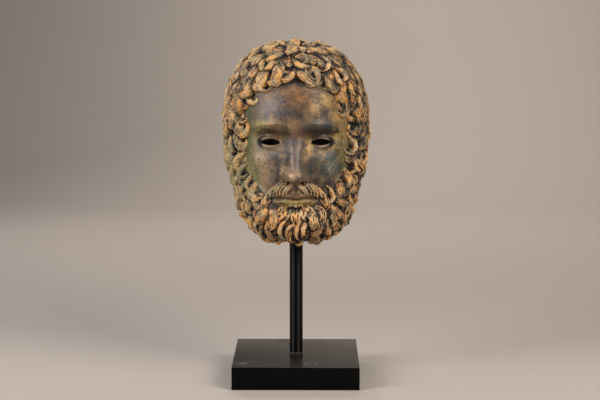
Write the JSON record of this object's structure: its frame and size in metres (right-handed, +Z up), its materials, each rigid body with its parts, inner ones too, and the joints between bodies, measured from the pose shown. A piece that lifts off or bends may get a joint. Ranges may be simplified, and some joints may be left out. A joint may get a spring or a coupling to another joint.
{
  "type": "bearded head mask on a stand",
  "caption": "Hollow cast mask of a bearded, curly-haired man with deep, empty eye sockets, open behind and below, held up by a plain rod on a square base.",
  "frame": {"origin": "middle of the base's underside, on the rod's axis", "axes": "+Z up along the rod, -Y the way the face looks, +X to the right of someone who looks at the face"},
  "size_m": [0.1903, 0.1783, 0.4355],
  "materials": {
    "bronze": "weathered bronze, ochre and dark brown with green and blue-grey patina",
    "black_steel": "satin black paint",
    "black_lacquer": "smooth black lacquer, worn a little at the edges"
  },
  "bodies": {
    "root": {"mask": "bronze", "rod": "black_steel", "base": "black_lacquer"}
  },
  "joints": []
}
